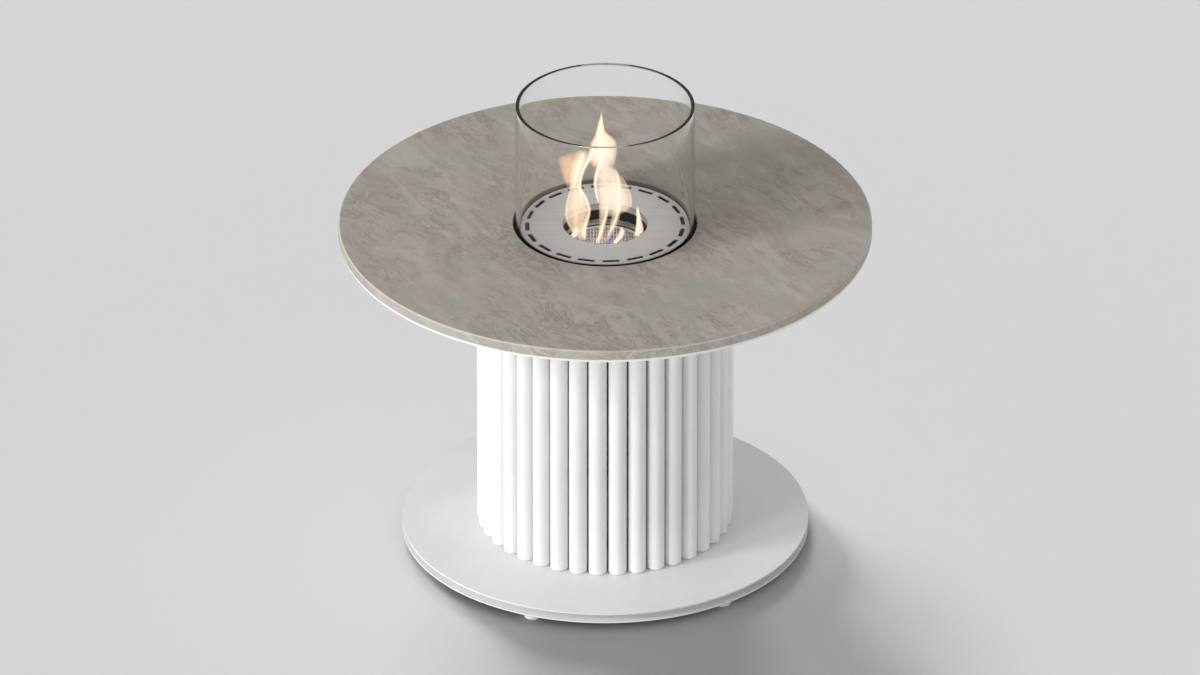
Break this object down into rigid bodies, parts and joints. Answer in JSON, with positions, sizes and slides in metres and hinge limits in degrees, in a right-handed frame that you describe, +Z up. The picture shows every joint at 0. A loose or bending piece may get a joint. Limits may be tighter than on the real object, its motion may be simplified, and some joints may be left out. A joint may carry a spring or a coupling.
{
  "type": "gas fire table",
  "caption": "Round fire table: stone top on a pedestal of upright tubes with a rear door, round weighted base, gas burner under a slotted steel plate inside a clear glass cylinder.",
  "frame": {"origin": "on the floor, on the vertical axis of the table", "axes": "+Z up, -Y towards the front, +X to the right seen from the front; the door is at +Y"},
  "size_m": [0.9999, 1, 0.907],
  "materials": {
    "stone_top": "honed stone with cloudy diagonal veins",
    "white_coat": "matte white powder coat",
    "groove_coat": "matte grey powder coat",
    "black_coat": "satin black heat-proof coat",
    "concrete": "cast concrete",
    "clear_glass": "clear toughened glass, polished edges",
    "plate_steel": "brushed stainless steel, straight grain",
    "mesh_steel": "heat-darkened stainless wire",
    "bright_steel": "polished stainless steel",
    "zinc_steel": "zinc-plated steel",
    "brass": "turned brass",
    "copper_pipe": "drawn copper alloy tube",
    "cast_alloy": "die-cast alloy, bead blasted",
    "white_plastic": "moulded white plastic",
    "black_plastic": "moulded black plastic",
    "red_plastic": "moulded red plastic",
    "silicone": "black silicone",
    "ceramic": "white alumina"
  },
  "bodies": {
    "table": {"table_slab": "stone_top", "slab_support_plate": "white_coat", "base_top_plate": "white_coat", "base_ballast": "concrete", "base_side_band": "groove_coat", "base_bottom_plate": "white_coat", "foot_inserts": "zinc_steel", "pedestal_tubes": "white_coat", "pedestal_end_caps": "white_plastic", "tube_screws": "zinc_steel", "bottom_hoop": "white_coat", "top_hoop": "white_coat", "frame_screws": "zinc_steel", "pivot_bushes": "black_plastic", "catch_magnet": "black_plastic", "burner_housing": "black_coat", "glass_gasket": "silicone", "burner_cup": "black_coat", "cup_legs": "zinc_steel", "mesh_carrier": "black_coat", "burner_mesh": "mesh_steel", "burner_band": "bright_steel", "gas_ring": "mesh_steel", "mixer_tube": "zinc_steel", "gas_jet": "brass", "gas_pipe": "copper_pipe", "pilot_bracket": "zinc_steel", "ignition_electrode": "ceramic", "thermocouple": "bright_steel", "control_panel": "white_coat", "panel_screws": "zinc_steel", "gas_valve": "cast_alloy", "gas_inlet": "brass", "igniter_body": "black_plastic", "igniter_nut": "black_plastic"},
    "door": {"door_tubes": "white_coat", "door_end_caps": "white_plastic", "door_screws": "zinc_steel", "door_frame": "white_coat", "door_pivot_arms": "white_coat", "catch_striker": "zinc_steel"},
    "glass": {"glass_cylinder": "clear_glass"},
    "plate": {"burner_plate": "plate_steel"},
    "plunger": {"valve_plunger": "brass"},
    "knob": {"valve_spindle": "zinc_steel", "control_knob": "black_plastic"},
    "button": {"igniter_button": "red_plastic"},
    "foot_1": {"foot_pad_1": "white_coat"},
    "stem_1": {"foot_stem_1": "zinc_steel"},
    "foot_2": {"foot_pad_2": "white_coat"},
    "stem_2": {"foot_stem_2": "zinc_steel"},
    "foot_3": {"foot_pad_3": "white_coat"},
    "stem_3": {"foot_stem_3": "zinc_steel"},
    "foot_4": {"foot_pad_4": "white_coat"},
    "stem_4": {"foot_stem_4": "zinc_steel"},
    "foot_5": {"foot_pad_5": "white_coat"},
    "stem_5": {"foot_stem_5": "zinc_steel"},
    "foot_6": {"foot_pad_6": "white_coat"},
    "stem_6": {"foot_stem_6": "zinc_steel"}
  },
  "joints": [
    {"name": "door_hinge", "type": "hinge", "parent": "table", "child": "door", "pos_m": [0.17066, 0.16376, 0.33], "axis": [0, 0, -1], "range_deg": [0, 110]},
    {"name": "glass_lift", "type": "slide", "parent": "table", "child": "glass", "axis": [0, 0, 1], "range_m": [0, 0.3]},
    {"name": "plate_lift", "type": "slide", "parent": "table", "child": "plate", "axis": [0, 0, 1], "range_m": [0, 0.3]},
    {"name": "knob_push", "type": "slide", "parent": "table", "child": "plunger", "axis": [0, -1, 0], "range_m": [0, 0.004], "stiffness_N_per_m": 900, "springref_m": -0.002},
    {"name": "knob_turn", "type": "hinge", "parent": "plunger", "child": "knob", "pos_m": [-0.038, 0.16532, 0.518], "axis": [0, 1, 0], "range_deg": [0, 180]},
    {"name": "igniter_press", "type": "slide", "parent": "table", "child": "button", "axis": [0, -1, 0], "range_m": [0, 0.004], "stiffness_N_per_m": 1200, "springref_m": -0.002},
    {"name": "foot_1_level", "type": "slide", "parent": "table", "child": "foot_1", "axis": [0, 0, -1], "range_m": [0, 0.006]},
    {"name": "foot_1_turn", "type": "hinge", "parent": "foot_1", "child": "stem_1", "pos_m": [-0.13489, -0.33054, 0.015], "axis": [0, 0, -1], "range_deg": [-1, 1441]},
    {"name": "foot_2_level", "type": "slide", "parent": "table", "child": "foot_2", "axis": [0, 0, -1], "range_m": [0, 0.006]},
    {"name": "foot_2_turn", "type": "hinge", "parent": "foot_2", "child": "stem_2", "pos_m": [0.21881, -0.28208, 0.015], "axis": [0, 0, -1], "range_deg": [-1, 1441]},
    {"name": "foot_3_level", "type": "slide", "parent": "table", "child": "foot_3", "axis": [0, 0, -1], "range_m": [0, 0.006]},
    {"name": "foot_3_turn", "type": "hinge", "parent": "foot_3", "child": "stem_3", "pos_m": [0.3537, 0.04845, 0.015], "axis": [0, 0, -1], "range_deg": [-1, 1441]},
    {"name": "foot_4_level", "type": "slide", "parent": "table", "child": "foot_4", "axis": [0, 0, -1], "range_m": [0, 0.006]},
    {"name": "foot_4_turn", "type": "hinge", "parent": "foot_4", "child": "stem_4", "pos_m": [0.13489, 0.33054, 0.015], "axis": [0, 0, -1], "range_deg": [-1, 1441]},
    {"name": "foot_5_level", "type": "slide", "parent": "table", "child": "foot_5", "axis": [0, 0, -1], "range_m": [0, 0.006]},
    {"name": "foot_5_turn", "type": "hinge", "parent": "foot_5", "child": "stem_5", "pos_m": [-0.21881, 0.28208, 0.015], "axis": [0, 0, -1], "range_deg": [-1, 1441]},
    {"name": "foot_6_level", "type": "slide", "parent": "table", "child": "foot_6", "axis": [0, 0, -1], "range_m": [0, 0.006]},
    {"name": "foot_6_turn", "type": "hinge", "parent": "foot_6", "child": "stem_6", "pos_m": [-0.3537, -0.04845, 0.015], "axis": [0, 0, -1], "range_deg": [-1, 1441]}
  ],
  "couplings": [
    {"joint": "foot_1_turn", "follows": "foot_1_level", "rad_per_m": 4188.8},
    {"joint": "foot_2_turn", "follows": "foot_2_level", "rad_per_m": 4188.8},
    {"joint": "foot_3_turn", "follows": "foot_3_level", "rad_per_m": 4188.8},
    {"joint": "foot_4_turn", "follows": "foot_4_level", "rad_per_m": 4188.8},
    {"joint": "foot_5_turn", "follows": "foot_5_level", "rad_per_m": 4188.8},
    {"joint": "foot_6_turn", "follows": "foot_6_level", "rad_per_m": 4188.8}
  ]
}
